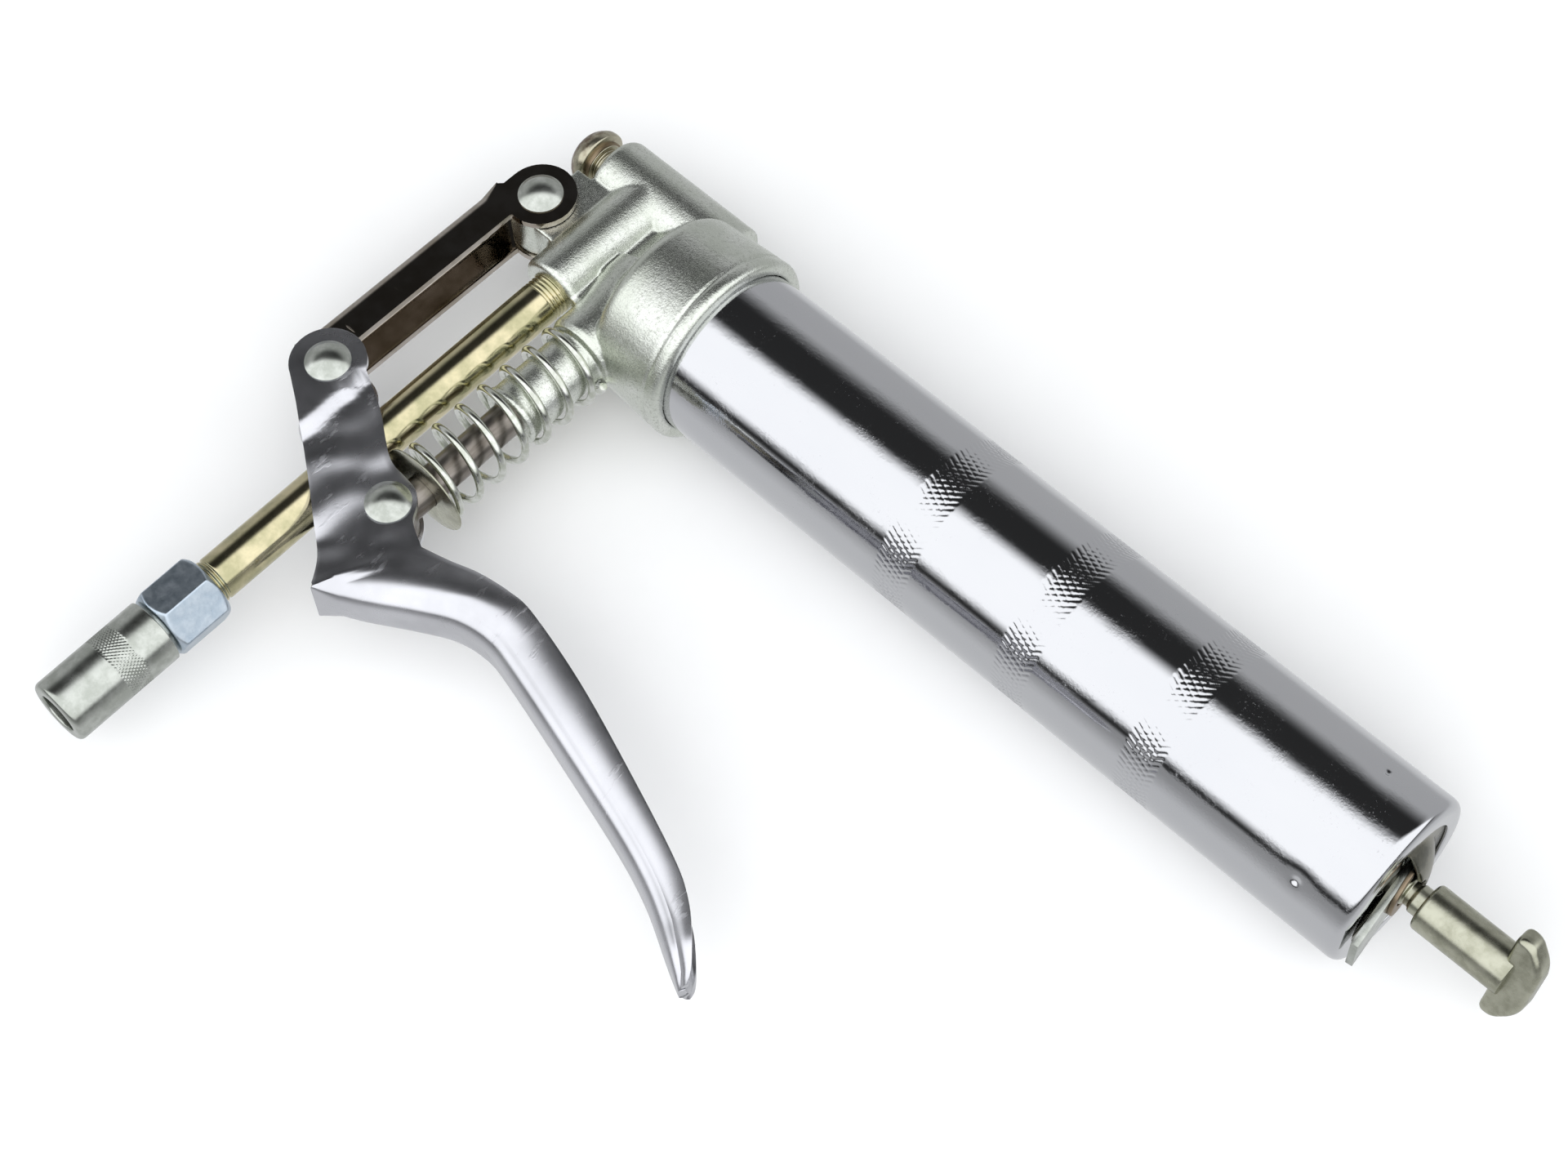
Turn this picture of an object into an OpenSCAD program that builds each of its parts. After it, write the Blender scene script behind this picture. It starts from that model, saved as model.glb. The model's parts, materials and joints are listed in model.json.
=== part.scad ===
// Mini grease gun: die-cast pump head, chromed barrel with a rod-locked follower, outlet pipe with a
// four-jaw coupler, and a squeeze lever that drives a sprung plunger through a link.
// The gun lies on its side. Barrel axis along X, outlet along -Y, and the lever swings in the XY plane.

/* [Barrel] */
// Outer radius of the barrel tube
barrel_r = 19; // [19:0.5:19.5]
// Wall of the barrel tube
barrel_wall = 0.8; // [0.6:0.1:1]
// Barrel end, measured from the outlet axis
barrel_end = 213.3; // [205:0.1:220]
// Radius of the rounded shoulder at the barrel end
shoulder_r = 4; // [3:0.5:5]
// Opening in the barrel end
end_hole_r = 14; // [13:0.5:14]
// Width of each knurled band
knurl_w = 8.5; // [6:0.5:12]
// Start of the first knurled band
knurl_start = 95.8; // [90:0.1:100]
// Distance from one knurled band to the next
knurl_pitch = 31.5; // [28:0.5:34]
// Depth of the knurl below the tube surface
knurl_depth = 0.2; // [0.1:0.05:0.3]

/* [Pump head] */
// Collar radius
collar_r = 21; // [20.8:0.1:21.5]
// Radius of the bead at the collar mouth
bead_r = 22; // [21.8:0.1:23]
// Collar mouth, measured from the outlet axis
collar_front = 38; // [36:0.5:40]
// Back of the collar
collar_back = 17; // [16:0.5:18]
// Radius of the boss that holds the outlet pipe
outlet_boss_r = 8; // [7.5:0.1:8]
// Radius of the valve boss that lies along the barrel
valve_boss_r = 8.3; // [8.2:0.1:8.6]
// Distance of the valve boss from the barrel axis
valve_y = 16.5; // [16:0.1:17]
// End of the valve boss
valve_end = -12.5; // [-14:0.5:-12]
// Half thickness of the pivot lug
lug_half = 5.2; // [4.8:0.1:5.2]

/* [Outlet] */
// Radius of the outlet pipe
pipe_r = 4.9; // [4.6:0.1:5]
// Bore of the outlet pipe
pipe_bore_r = 2; // [1.5:0.1:2.5]
// Where the pipe leaves the head
pipe_start = -14.5; // [-16:0.5:-14]
// Where the coupler hexagon starts
hex_start = -110; // [-115:0.5:-105]
// Length of the coupler hexagon
hex_len = 13; // [11:0.5:14]
// Across the flats of the coupler hexagon
hex_af = 14; // [13:0.5:15]
// Radius of the coupler sleeve
coupler_r = 7.1; // [7:0.1:7.5]
// Length of the coupler sleeve
coupler_len = 25.4; // [24:0.1:27]
// Radius of the mouth that a grease nipple enters
mouth_r = 4.4; // [4.2:0.1:4.6]

/* [Plunger] */
// Distance of the plunger axis from the outlet axis
plunger_x = 15.6; // [15:0.1:16]
// Plunger radius
plunger_r = 4; // [3.8:0.1:4]
// Running clearance of shafts in their bores
run_gap = 0.05; // [0.02:0.01:0.08]
// Radius of the plunger boss
plunger_boss_r = 6.6; // [6.4:0.1:6.8]
// End of the plunger boss
plunger_boss_end = -42; // [-44:0.5:-40]
// Outer radius of the return spring
spring_r = 9; // [8.9:0.1:9.2]
// Wire diameter of the return spring
spring_wire = 1.8; // [1.5:0.1:1.8]
// Radius of the dished washer under the return spring
spring_washer_r = 10.5; // [10:0.1:10.5]

/* [Lever and link] */
// Link pivot on the head
pivot_a = [-15.8, -1.3]; // [-20:0.1:80]
// Pivot between link and lever
pivot_b = [-16.7, -60.7]; // [-80:0.1:0]
// Pivot between lever and plunger
pivot_c = [15.6, -74.3]; // [-80:0.1:20]
// Thickness of the pressed sheet
sheet = 1.6; // [1.4:0.1:1.6]
// Radius of the rivet shanks
rivet_r = 2.5; // [2.3:0.1:2.5]
// Radius of the rivet heads
rivet_head_r = 4.85; // [4.6:0.05:5]
// Height of the rivet heads
rivet_head_h = 2.2; // [1.8:0.1:2.4]
// Half width of the lever handle
handle_half = 8; // [7.5:0.1:8.5]

/* [Follower] */
// Radius of the follower rod
rod_r = 3.1; // [3:0.05:3.2]
// Radius of the T-handle sleeve
sleeve_r = 5.05; // [4.8:0.05:5.2]
// Start of the T-handle sleeve
sleeve_start = 219.3; // [218.5:0.1:220]
// Start of the T-handle grip
grip_start = 237.2; // [236:0.1:239]
// Height of the T-handle grip along the rod
grip_h = 7.6; // [7:0.1:8]
// Width of the T-handle grip
grip_w = 23.5; // [19:0.5:25]
// Thickness of the T-handle grip
grip_t = 5; // [4:0.5:6]
// Turn of the T-handle grip about the rod
grip_turn = 70; // [0:5:180]

/* [Hidden] */
$fn = 96;

// The row's origin is under the middle of the gun's box.
frame_x = 109.27;
frame_y = -62.2;
frame_z = bead_r;

// Side play under a rivet head that another body turns against.
side_gap = 0.1;
// Levels of the lever's cheeks: the outside of the link, past the pipe, at the plunger and at the handle.
level_link = 7.2;
level_pipe = 5.6;
level_rod = 4.5;
level_handle = handle_half - sheet;
joggle_link = [-9.2, -7];
joggle_rod = [7, 9];
joggle_handle = [20.8, 22.8];
link_out = 7;
link_eye_r = 7.8;
link_foot_r = 6;
link_web = 9.6;
link_inner = 0.8;
lever_eye_r = 8.1;
slot_u = 0.9;
slot_r = 2.7;
socket_back = 24;
barrel_start = 26;
spring_seat = -21.5;
spring_foot = -64;
spring_turns = 8;
piston_x = 30;
seat_x = 201.5;
valve_seat_x = 6;
ball_r = 2.5;
valve_port_r = 1.8;
piston_r = barrel_r - barrel_wall - 0.08;
follower_spring_r = 15;
follower_wire = 1.6;
follower_turns = 20;
latch_tilt = 7.3;
latch_pivot = [212.45, 6.6];
latch_t = 1.5;
latch_foot = -17.4;
latch_half = 4.5;
latch_hole_r = 3.5;
cap_screw_neck_r = 4;
cap_screw_seat = valve_end - 3.8;
jaw_r = 5.5;

// Points on an arc in the plane, from angle a0 to a1.
function arc(c, r, a0, a1, n = 12) =
  [for (i = [0:n]) c + r * [cos(a0 + (a1 - a0) * i / n), sin(a0 + (a1 - a0) * i / n)]];

// A point on a Catmull-Rom stretch between p1 and p2.
function crom(p0, p1, p2, p3, t) =
  0.5 * (2 * p1 + (p2 - p0) * t + (2 * p0 - 5 * p1 + 4 * p2 - p3) * t * t
  + (3 * p1 - p0 - 3 * p2 + p3) * t * t * t);

// A smooth curve through all the points, with n steps between each two.
function curve(p, n = 4) =
  let (m = len(p) - 1)
  concat(
    [for (i = [0:m - 1], k = [0:n - 1])
      crom(p[max(i - 1, 0)], p[i], p[i + 1], p[min(i + 2, m)], k / n)],
    [p[m]]
  );

function unit(v) = v / norm(v);

// The curve moved sideways by d, to its left.
function beside(p, d) =
  [for (i = [0:len(p) - 1])
    let (v = unit(p[min(i + 1, len(p) - 1)] - p[max(i - 1, 0)]))
    p[i] + d * [-v[1], v[0]]];

function backwards(p) = [for (i = [len(p) - 1:-1:0]) p[i]];

module in_frame() { translate([-frame_x, -frame_y, frame_z]) children(); }

// A cylinder along X from x0 to x1.
module xcyl(r, x0, x1, y = 0, z = 0) {
  translate([x0, y, z]) rotate([0, 90, 0]) cylinder(r = r, h = x1 - x0);
}

// A cylinder along Y from y0 to y1.
module ycyl(r, y0, y1, x = 0, z = 0) {
  translate([x, y0, z]) rotate([-90, 0, 0]) cylinder(r = r, h = y1 - y0);
}

// A cylinder along Z, centred on the mid-plane.
module pin(p, r, half) { translate([p[0], p[1], -half]) cylinder(r = r, h = 2 * half); }

// Turned about an X axis from points [radius, x].
module xturn(points, y = 0) {
  translate([0, y, 0]) rotate([0, 90, 0]) rotate_extrude() polygon(points);
}

// Turned about a Y axis from points [radius, y].
module yturn(points, x = 0) {
  translate([x, 0, 0]) rotate([-90, 0, 0]) rotate_extrude() polygon(points);
}

// A plate between two heights on both sides of the mid-plane, from a flat outline.
module both_sides(low, high) {
  for (s = [0, 1]) mirror([0, 0, s]) translate([0, 0, low]) linear_extrude(high - low) children();
}

// A stack of wire rings along Y.
module rings_y(mean_r, wire, y0, y1, n, x) {
  for (i = [0:n - 1])
    translate([x, y0 + (y1 - y0) * i / (n - 1), 0]) rotate([90, 0, 0])
      rotate_extrude() translate([mean_r, 0]) circle(r = wire / 2, $fn = 24);
}

// A stack of wire rings along X.
module rings_x(mean_r, wire, x0, x1, n, y = 0) {
  for (i = [0:n - 1])
    translate([x0 + (x1 - x0) * i / (n - 1), y, 0]) rotate([0, 90, 0])
      rotate_extrude() translate([mean_r, 0]) circle(r = wire / 2, $fn = 24);
}

// ---- Pump head ----
module head_collar() {
  round_r = 3.5;
  xturn(concat(
    [[0, collar_back]],
    arc([collar_r - round_r, collar_back + round_r], round_r, -90, 0),
    arc([bead_r - 1.6, collar_front - 1.7], 1.6, 0, 90),
    [[0, collar_front - 0.1]]
  ));
}

module head_solid() {
  head_collar();
  // valve boss with a rounded end
  xturn(concat([[0, valve_end]], arc([valve_boss_r - 1.8, valve_end + 1.8], 1.8, -90, 0),
    [[valve_boss_r, 22.5], [0, 22.5]]), valve_y);
  // outlet boss with a rounded end
  yturn(concat([[0, pipe_start]], arc([outlet_boss_r - 1.5, pipe_start + 1.5], 1.5, -90, 0),
    [[outlet_boss_r, valve_y], [0, valve_y]]));
  // plunger boss, its root and its lip
  ycyl(plunger_boss_r, plunger_boss_end + 1, 0, plunger_x);
  yturn(concat([[0, plunger_boss_end]],
    arc([plunger_boss_r - 0.6, plunger_boss_end + 1], 1, -90, 90, 16),
    [[0, plunger_boss_end + 2]]), plunger_x);
  ycyl(outlet_boss_r + 0.6, spring_seat + 1, 0, plunger_x);
  // web between the bosses and the collar
  translate([0, -13.5, -4.5]) cube([collar_back + 3, valve_y + 13.5, 9]);
  // pivot lug
  pin(pivot_a, 7.2, lug_half);
  translate([pivot_a[0], pivot_a[1] - 6.1, -lug_half]) cube([-pivot_a[0], 17, 2 * lug_half]);
}

module head_casting() {
  color("#b8bdb4") in_frame() difference() {
    head_solid();
    // barrel socket, with a recess for the gasket
    xcyl(barrel_r + run_gap, socket_back, collar_front + 1);
    // valve chamber, the screw's thread and the passages
    xcyl(cap_screw_neck_r, valve_end - 1, -4, valve_y);
    xcyl(3, valve_end, valve_seat_x, valve_y);
    xcyl(valve_port_r, valve_seat_x - 1, plunger_x, valve_y);
    ycyl(valve_port_r, 4, valve_y, plunger_x);
    ycyl(pipe_bore_r, -4, valve_y);
    ycyl(pipe_r, pipe_start - 1, -3);
    // plunger bore, its seal groove and the inlet port
    ycyl(plunger_r + run_gap, plunger_boss_end - 1, 6, plunger_x);
    ycyl(5.3, -38, -35, plunger_x);
    xcyl(2.5, plunger_x, socket_back + 1, 0);
    // rivet hole
    pin(pivot_a, rivet_r, lug_half + 1);
  }
}

module plunger_seal() {
  color("#1b1b1b") in_frame() difference() {
    ycyl(5.3, -38, -35, plunger_x);
    ycyl(plunger_r + run_gap, -39, -34, plunger_x);
  }
}

module barrel_gasket() {
  color("#202020") in_frame() difference() {
    xcyl(barrel_r + run_gap, socket_back, barrel_start - 0.1);
    xcyl(barrel_r - 3, socket_back - 1, barrel_start + 1);
  }
}

// A domed rivet through both cheeks, its heads at the height high on each side.
module rivet(p, high) {
  dome_r = (pow(rivet_head_r, 2) + pow(rivet_head_h, 2)) / (2 * rivet_head_h);
  half_angle = asin(rivet_head_r / dome_r);
  profile = concat([[0, 0]], arc([0, rivet_head_h - dome_r], dome_r, 90 - half_angle, 90, 10));
  pin(p, rivet_r, high);
  for (s = [0, 1]) mirror([0, 0, s]) translate([p[0], p[1], high]) rotate_extrude() polygon(profile);
}

module rivet_head_pivot() { color("#c9ccc6") in_frame() rivet(pivot_a, link_out + side_gap); }
module rivet_link_pivot() { color("#c9ccc6") in_frame() rivet(pivot_b, level_link + sheet + side_gap); }
module rivet_plunger_pivot() { color("#c9ccc6") in_frame() rivet(pivot_c, level_rod + sheet + side_gap); }

module check_ball() {
  seat_gap = 0.02;
  ball_x = valve_seat_x - sqrt(pow(ball_r, 2) - pow(valve_port_r, 2)) - seat_gap;
  color("silver") in_frame() translate([ball_x, valve_y, 0]) sphere(r = ball_r);
}

module check_spring() {
  color("silver") in_frame() rings_x(2, 0.6, -8.1, 1.8, 7, valve_y);
}

module cap_screw() {
  neck_end = cap_screw_seat;
  neck_r = cap_screw_neck_r - run_gap;
  head_r = 6.8;
  color("#a79f8e") in_frame() xturn(concat(
    [[0, -8.5], [neck_r, -8.5], [neck_r, neck_end]],
    [[head_r - 0.8, neck_end]],
    arc([head_r - 0.8, neck_end - 0.8], 0.8, 90, 0, 6),
    [[head_r, neck_end - 1.8]],
    arc([head_r - 3.6, neck_end - 1.8], 3.6, 0, -80, 10),
    [[0, neck_end - 5.6]]
  ), valve_y);
}

module cap_washer() {
  color("#8a5a3c") in_frame() difference() {
    xcyl(cap_screw_neck_r + 1.2, cap_screw_seat, cap_screw_seat + 0.8, valve_y);
    xcyl(cap_screw_neck_r - run_gap, valve_end - 4, valve_end, valve_y);
  }
}

// ---- Outlet pipe and coupler ----
module outlet_pipe() {
  color("#c8b26a") in_frame() difference() {
    ycyl(pipe_r, hex_start - 8, -3);
    ycyl(pipe_bore_r, hex_start - 9, -2);
  }
}

module coupler_body() {
  corner_r = hex_af / sqrt(3);
  hex_end = hex_start - hex_len;
  spigot_end = hex_end - 5.5;
  color("#8d9aa6") in_frame() difference() {
    union() {
      intersection() {
        translate([0, hex_end, 0]) rotate([-90, 0, 0]) rotate([0, 0, 8])
          cylinder(r = corner_r, h = hex_len, $fn = 6);
        yturn([[0, hex_end], [hex_af / 2 - 0.2, hex_end], [corner_r + 0.1, hex_end + 1.1],
          [corner_r + 0.1, hex_start - 1.1], [hex_af / 2 - 0.2, hex_start], [0, hex_start]]);
      }
      ycyl(5, spigot_end, hex_end + 1);
    }
    ycyl(pipe_r, hex_start - 8, hex_start + 1);
    ycyl(1.5, spigot_end - 1, hex_start - 7);
  }
}

module coupler_sleeve() {
  sleeve_top = hex_start - hex_len - 0.8;
  mouth = sleeve_top - coupler_len;
  lip = 3;
  color("#b9c0c2") in_frame() difference() {
    yturn(concat(
      [[0, mouth]],
      arc([coupler_r - 0.9, mouth + 0.9], 0.9, -90, 0, 6),
      [[coupler_r, sleeve_top - 0.5], [coupler_r - 0.5, sleeve_top], [0, sleeve_top]]
    ));
    ycyl(mouth_r, mouth - 1, mouth + lip + 1);
    ycyl(jaw_r + run_gap, mouth + lip, sleeve_top - 5);
    ycyl(5, sleeve_top - 6, sleeve_top + 1);
  }
}

// The four jaws are one collet: a ring cut by two crossed slots behind a short common collar.
module coupler_jaws() {
  front = hex_start - hex_len - 0.8 - coupler_len + 3;
  color("#9a9a94") in_frame() difference() {
    ycyl(jaw_r, front, front + 9);
    ycyl(3.3, front - 1, front + 10);
    for (a = [45, 135]) rotate([0, a, 0]) translate([-7, front - 1, -0.4]) cube([14, 8.5, 0.8]);
  }
}

module coupler_seal() {
  top = hex_start - hex_len - 0.8 - coupler_len + 12;
  color("#222222") in_frame() difference() {
    ycyl(jaw_r, top, top + 2);
    ycyl(1.6, top - 1, top + 3);
  }
}

module jaw_spring() {
  low = hex_start - hex_len - 0.8 - coupler_len + 14.5;
  color("silver") in_frame() rings_y(4.4, 0.8, low, hex_start - hex_len - 6.1, 5, 0);
}

// ---- Plunger ----
module plunger_rod() {
  color("#6d675f") in_frame() difference() {
    union() {
      ycyl(plunger_r, pivot_c[1], -14, plunger_x);
      pin(pivot_c, 5.2, level_rod - 0.3);
    }
    pin(pivot_c, rivet_r + run_gap, level_rod + 1);
  }
}

module spring_washer() {
  top = spring_foot - spring_wire / 2 - 0.1;
  color("#a9a590") in_frame() difference() {
    yturn([[0, top - 0.9], [spring_washer_r - 2, top - 0.9], [spring_washer_r, top - 0.6],
      [spring_washer_r, top - 0.2], [spring_washer_r - 1.5, top], [0, top]], plunger_x);
    ycyl(plunger_r, top - 3, top + 1, plunger_x);
  }
}

module return_spring() {
  mean_r = spring_r - spring_wire / 2;
  color("#c5c8c2") in_frame()
    rings_y(mean_r, spring_wire, spring_foot, spring_seat - spring_wire / 2 - 0.1, spring_turns, plunger_x);
}

// ---- Link ----
module link() {
  length = norm(pivot_b - pivot_a);
  lean = atan2(pivot_b[0] - pivot_a[0], pivot_a[1] - pivot_b[1]);
  color("#3a3836") in_frame() translate([pivot_a[0], pivot_a[1], 0]) rotate([0, 0, lean]) difference() {
    union() {
      both_sides(link_out - sheet, link_out) union() {
        circle(r = link_eye_r);
        translate([0, -length]) circle(r = link_foot_r);
        translate([-link_web, -length - 1]) square([link_web - link_inner, length + 1]);
      }
      translate([-link_web, -length - 1, -link_out]) cube([sheet, length - 0.5, 2 * link_out]);
    }
    pin([0, 0], rivet_r + run_gap, link_out + 1);
    pin([0, -length], rivet_r, link_out + 1);
    translate([-link_web - 1, -1, -link_out - 1]) cube([1 + link_web - link_eye_r, 20, 2 * link_out + 2]);
  }
}

// ---- Lever ----
web_line = curve([[18.5, -98], [27, -93.8], [37, -87.8], [44.5, -84], [52, -82.9], [60, -84.3],
  [80, -89.4], [100, -94.8], [112, -99], [122, -104], [130, -108]]);
free_edge = curve([[28, -76.8], [34.5, -75.2], [41, -73.3], [49, -72.4], [56, -72.8], [73.3, -77.1],
  [93, -83.7], [112.7, -91], [122.6, -95.8], [128, -101], [131, -106], [130, -108]]);
ear_edge = curve([[-8, -57.4], [-1, -60.9], [8, -66.9], [13.5, -67.9], [17.5, -68.6], [20.2, -70.8],
  [22.5, -74], [28, -76.8]]);
lower_edge = curve([[18.5, -98], [14.6, -92.7], [8.5, -87.9], [-1, -80.9], [-6, -77.4], [-15, -71.2]]);

module lever_outline() {
  polygon(concat(lower_edge, arc(pivot_b, lever_eye_r, 235, 50, 14), ear_edge, free_edge,
    backwards(web_line)));
}

// One stretch of both cheeks between two x values, at one level.
module cheek_stretch(x0, x1, low, high) {
  intersection() {
    both_sides(low, high) lever_outline();
    translate([x0, -120, -20]) cube([x1 - x0, 80, 40]);
  }
}

module lever() {
  u = unit(pivot_c - pivot_b);
  color("#a4a7ab") in_frame() difference() {
    union() {
      cheek_stretch(-40, joggle_link[1], level_link, level_link + sheet);
      cheek_stretch(joggle_link[0], joggle_link[1], level_pipe, level_link + sheet);
      cheek_stretch(joggle_link[0], joggle_rod[1], level_pipe, level_pipe + sheet);
      cheek_stretch(joggle_rod[0], joggle_rod[1], level_rod, level_pipe + sheet);
      cheek_stretch(joggle_rod[0], joggle_handle[1], level_rod, level_rod + sheet);
      cheek_stretch(joggle_handle[0], joggle_handle[1], level_rod, handle_half);
      cheek_stretch(joggle_handle[0], 140, level_handle, handle_half);
      // web along the outside of the handle
      translate([0, 0, -handle_half]) linear_extrude(2 * handle_half)
        polygon(concat(web_line, backwards(beside(web_line, sheet))));
    }
    // the pivot holes; the one at the link is a slot that takes up the linkage's small error
    pin(pivot_c, rivet_r + run_gap, 20);
    pin(pivot_b + slot_u * u, slot_r, 20);
    pin(pivot_b - slot_u * u, slot_r, 20);
    translate([pivot_b[0], pivot_b[1], -20]) rotate([0, 0, atan2(u[1], u[0])])
      translate([-slot_u, -slot_r, 0]) cube([2 * slot_u, 2 * slot_r, 40]);
  }
}

// ---- Barrel ----
module barrel_tube() {
  inner_r = barrel_r - barrel_wall;
  bend = shoulder_r - barrel_wall;
  dimple_x = 200.5;
  color("#c4c8cc") in_frame() difference() {
    xturn(concat(
      [[barrel_r, barrel_start]],
      arc([barrel_r - shoulder_r, barrel_end - shoulder_r], shoulder_r, 0, 90),
      [[end_hole_r, barrel_end], [end_hole_r, barrel_end - barrel_wall]],
      arc([barrel_r - shoulder_r, barrel_end - shoulder_r], bend, 90, 0),
      [[inner_r, barrel_start]]
    ));
    for (k = [0:2]) let (x0 = knurl_start + k * knurl_pitch) difference() {
      xcyl(barrel_r + 1, x0, x0 + knurl_w);
      xcyl(barrel_r - knurl_depth, x0 - 1, x0 + knurl_w + 1);
    }
    for (a = [61.5:90:360]) rotate([a, 0, 0]) translate([dimple_x, barrel_r + 1, 0])
      sphere(r = 1.5, $fn = 32);
  }
}

// The cap is a disc behind the shoulder. It has a half dome over the latch's fulcrum and a slot
// for the latch.
module end_cap() {
  disc_back = barrel_end - barrel_wall - 1.2;
  dome_foot = disc_back + 1.2;
  dome_r = 11;
  dome_h = 4.6;
  ball_r = (dome_r * dome_r + dome_h * dome_h) / (2 * dome_h);
  dome_angle = asin(dome_r / ball_r);
  color("#777b7d") in_frame() difference() {
    union() {
      xcyl(end_hole_r + 1, disc_back, dome_foot);
      difference() {
        xturn(concat([[dome_r, dome_foot - 0.5]],
          [for (i = [0:12]) ball_r * [sin(dome_angle * (1 - i / 12)), cos(dome_angle * (1 - i / 12))]
            + [0, dome_foot + dome_h - ball_r]],
          [[0, dome_foot - 0.5]]));
        translate([disc_back - 5, -20 + 1.2, -20]) cube([20, 20, 40]);
      }
    }
    // hollow under the dome
    difference() {
      xturn(concat([[dome_r - 1, disc_back - 1]],
        [for (i = [0:12]) (ball_r - 1) * [sin(dome_angle * (1 - i / 12)), cos(dome_angle * (1 - i / 12))]
          + [0, dome_foot + dome_h - ball_r]],
        [[0, disc_back - 1]]));
      translate([disc_back - 5, -20, -20]) cube([20, 20, 40]);
    }
    xcyl(rod_r + 0.6, disc_back - 1, barrel_end + 6);
    translate([disc_back - 1, -13.4, -5.4]) cube([4, 14, 10.8]);
  }
}

module tilted() {
  translate([latch_pivot[0], latch_pivot[1], 0]) rotate([0, 0, latch_tilt])
    translate([-latch_pivot[0], -latch_pivot[1], 0]) children();
}

module latch_plate() {
  color("#b9bcae") in_frame() difference() {
    tilted() union() {
      translate([latch_pivot[0] - latch_t / 2, latch_foot, -latch_half])
        cube([latch_t, latch_pivot[1] - latch_foot, 2 * latch_half]);
      pin(latch_pivot, latch_t / 2, latch_half);
    }
    xcyl(latch_hole_r, 200, 230);
  }
}

module latch_washer() {
  color("#7d6a55") in_frame() difference() {
    tilted() xcyl(6, latch_pivot[0] + latch_t / 2, latch_pivot[0] + latch_t / 2 + 0.9);
    xcyl(latch_hole_r, 200, 230);
    translate([200, 1.1, -10]) cube([40, 20, 20]);
  }
}

// Plate behind the dimples that both springs push against.
module spring_seat() {
  color("#a5a79f") in_frame() difference() {
    xcyl(barrel_r - barrel_wall, seat_x, seat_x + 1.2);
    xcyl(rod_r + 0.3, seat_x - 1, seat_x + 2);
  }
}

module latch_spring() {
  color("silver") in_frame() rings_x(4.4, 0.8, seat_x + 1.7, 210.8, 6);
}

module follower_spring() {
  color("silver") in_frame()
    rings_x(follower_spring_r - follower_wire / 2, follower_wire,
      piston_x + 4.6 + follower_wire / 2, seat_x - 0.1 - follower_wire / 2, follower_turns);
}

// ---- Follower ----
module follower_rod() { color("#9c9d93") in_frame() xcyl(rod_r, piston_x - 3, 230); }

module follower_front_plate() {
  color("#b5b8b0") in_frame() difference() {
    xcyl(piston_r - 2.5, piston_x - 1.5, piston_x);
    xcyl(rod_r, piston_x - 3, piston_x + 1);
  }
}

module follower_cup() {
  color("#1d1d1d") in_frame() difference() {
    xturn([[0, piston_x], [piston_r - 1, piston_x], [piston_r, piston_x + 1], [piston_r, piston_x + 7],
      [piston_r - 2, piston_x + 7], [piston_r - 2, piston_x + 3], [0, piston_x + 3]]);
    xcyl(rod_r, piston_x - 1, piston_x + 4);
  }
}

module follower_back_plate() {
  color("#b5b8b0") in_frame() difference() {
    xcyl(piston_r - 2.1, piston_x + 3, piston_x + 4.5);
    xcyl(rod_r, piston_x + 2, piston_x + 5);
  }
}

module follower_nut() {
  color("#9aa2a8") in_frame() difference() {
    translate([piston_x + 4.5, 0, 0]) rotate([0, 90, 0]) cylinder(r = 5.8, h = 4, $fn = 6);
    xcyl(rod_r, piston_x + 4, piston_x + 9);
  }
}

module t_handle() {
  grip_r = (grip_w * grip_w / 4 + grip_h * grip_h) / (2 * grip_h);
  color("#a0a08e") in_frame() difference() {
    union() {
      xturn([[0, sleeve_start], [sleeve_r - 0.8, sleeve_start], [sleeve_r, sleeve_start + 0.8],
        [sleeve_r, grip_start + 2], [0, grip_start + 2]]);
      rotate([grip_turn, 0, 0]) intersection() {
        translate([grip_start + grip_h - grip_r, 0, -grip_t / 2]) cylinder(r = grip_r, h = grip_t);
        translate([grip_start, -grip_w, -grip_t]) cube([grip_h + 1, 2 * grip_w, 2 * grip_t]);
      }
    }
    xcyl(rod_r, sleeve_start - 1, 230);
  }
}

head_casting();
outlet_pipe();
coupler_body();
coupler_sleeve();
jaw_spring();
plunger_seal();
barrel_gasket();
return_spring();
check_spring();
rivet_head_pivot();
plunger_rod();
spring_washer();
link();
rivet_link_pivot();
lever();
rivet_plunger_pivot();
cap_screw();
cap_washer();
barrel_tube();
end_cap();
spring_seat();
latch_spring();
follower_spring();
follower_rod();
t_handle();
follower_front_plate();
follower_cup();
follower_back_plate();
follower_nut();
latch_plate();
latch_washer();
coupler_jaws();
coupler_seal();
check_ball();
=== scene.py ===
import json
import math

import bmesh
import bpy
import numpy as np
from mathutils import Matrix, Vector


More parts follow.
